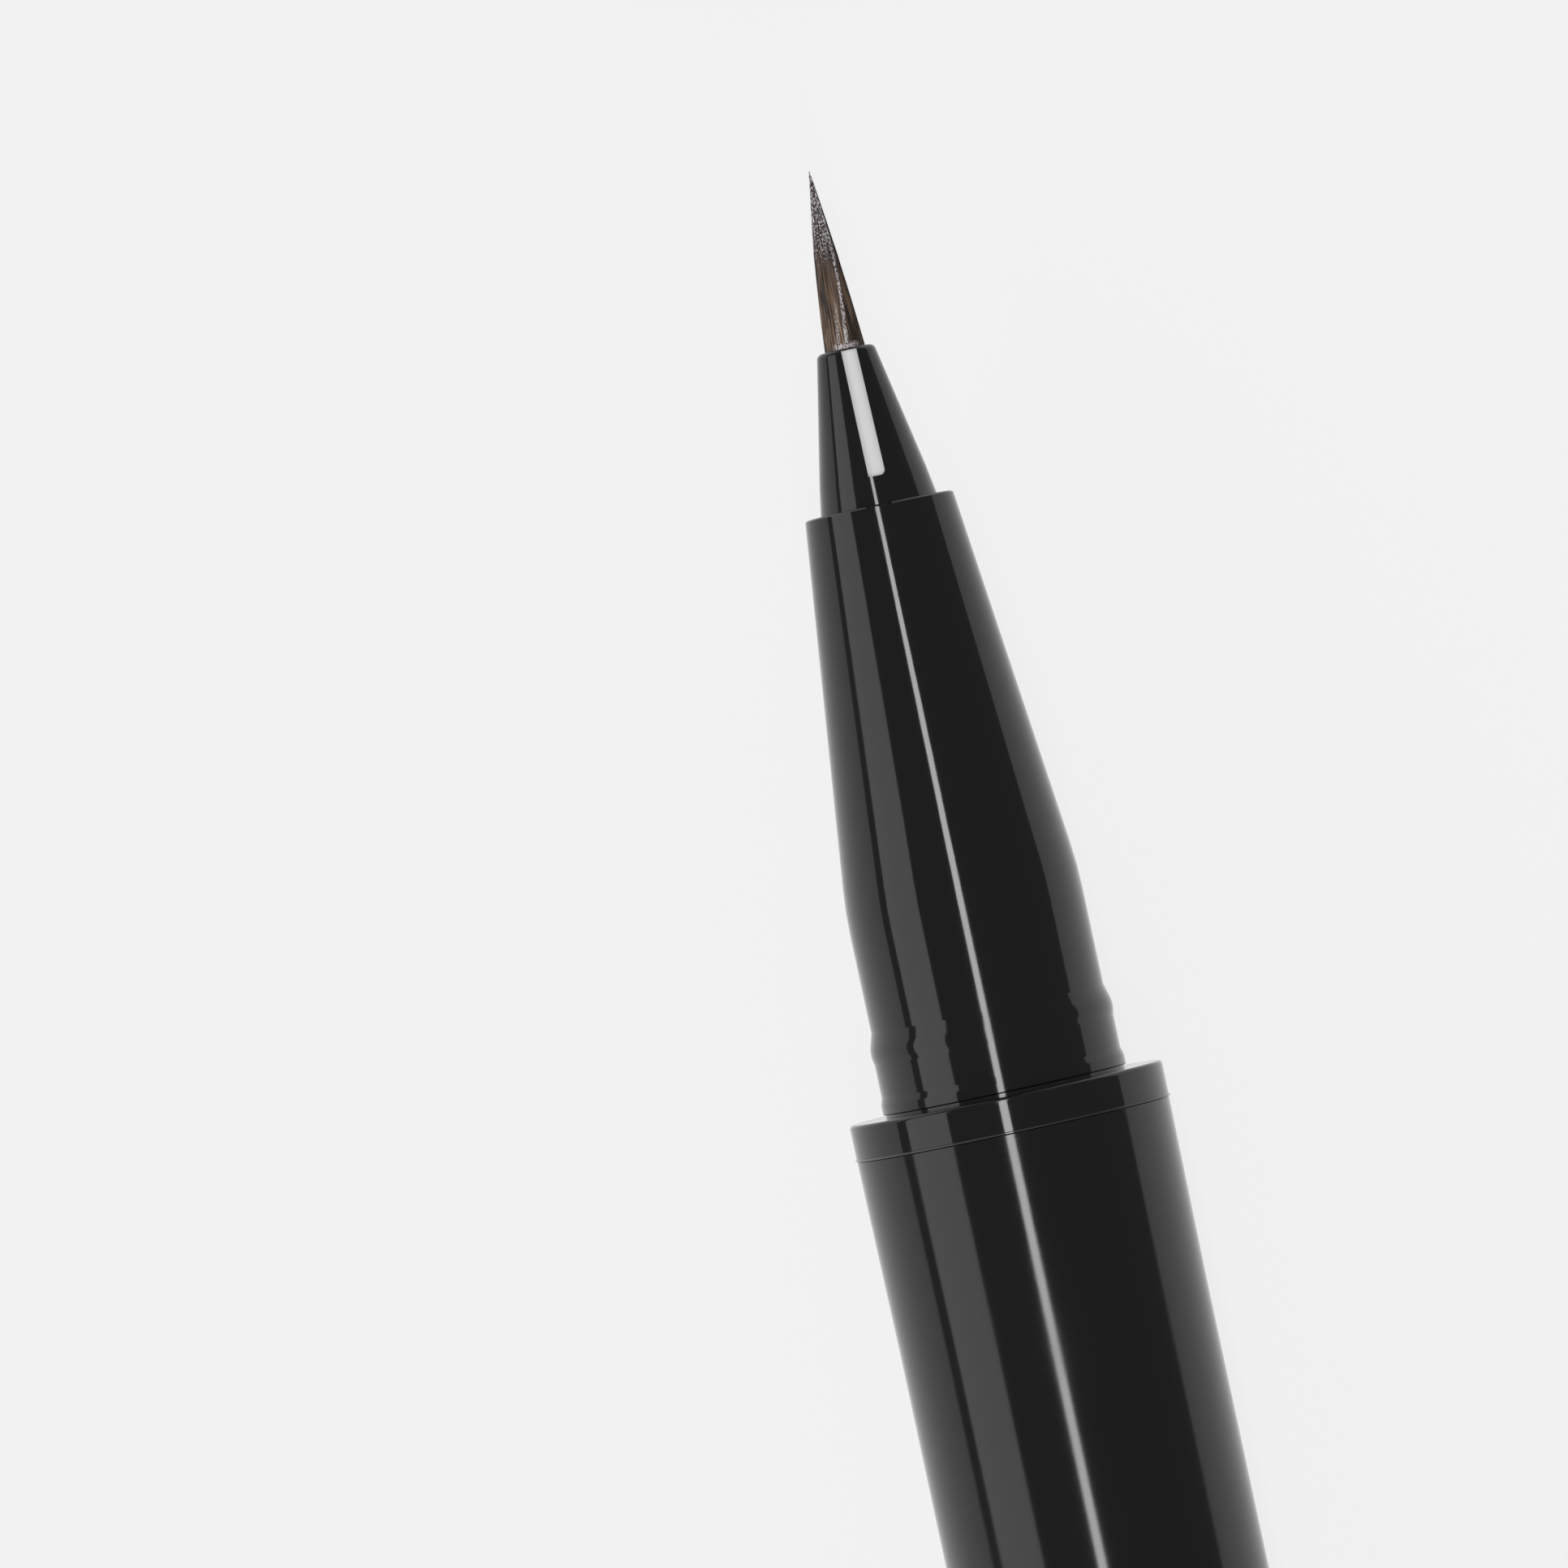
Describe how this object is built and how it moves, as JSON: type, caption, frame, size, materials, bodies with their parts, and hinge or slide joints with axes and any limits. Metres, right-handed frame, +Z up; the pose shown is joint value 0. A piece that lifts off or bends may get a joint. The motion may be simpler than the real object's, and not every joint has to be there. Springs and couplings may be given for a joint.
{
  "type": "liquid eyeliner pen",
  "caption": "Slim round liquid eyeliner pen lying open: fine brush in a windowed cone nozzle, tapered grip, collar, ink barrel, and a pull-off cap in line ahead.",
  "frame": {"origin": "middle of the bounding box at its lowest point, where the pen and the pulled-off cap lie on a surface", "axes": "+X along the pen from its tail to its brush, +Z up"},
  "size_m": [0.1782, 0.0106, 0.0106],
  "materials": {
    "cap_finish": "satin lacquer over moulded plastic",
    "cap_liner": "natural moulded, matt",
    "bristles": "fine tapered filaments wetted with brown ink",
    "bristle_root": "fused filaments",
    "white_holder": "white moulded, smooth",
    "nozzle_black": "black moulded, glossy",
    "wick_fibre": "bonded fibre rod",
    "grip_black": "black moulded, glossy",
    "collector_plastic": "natural moulded, translucent",
    "collar_black": "black moulded, satin",
    "barrel_finish": "satin lacquer over moulded plastic",
    "seal_rubber": "soft silicone",
    "tank_plastic": "natural moulded, translucent",
    "ball_steel": "polished bearing ball",
    "stopper_plastic": "natural moulded",
    "tail_finish": "black moulded, satin"
  },
  "bodies": {
    "pen": {"brush": "bristles", "brush_root": "bristle_root", "brush_holder": "white_holder", "nozzle": "nozzle_black", "wick": "wick_fibre", "grip": "grip_black", "collector": "collector_plastic", "collar_ring": "collar_black", "barrel": "barrel_finish", "tank_gasket": "seal_rubber", "tank": "tank_plastic", "tank_stopper": "stopper_plastic", "stopper_seal": "seal_rubber", "tail_plug": "tail_finish"},
    "cap": {"cap_shell": "cap_finish", "cap_inner": "cap_liner"},
    "mixing_ball": {"mixing_ball": "ball_steel"}
  },
  "joints": [
    {"name": "cap_slide", "type": "slide", "parent": "pen", "child": "cap", "axis": [1, 0, 0], "range_m": [-0.043, 0]},
    {"name": "ball_slide", "type": "slide", "parent": "pen", "child": "mixing_ball", "axis": [1, 0, 0], "range_m": [0, 0.0659]}
  ]
}
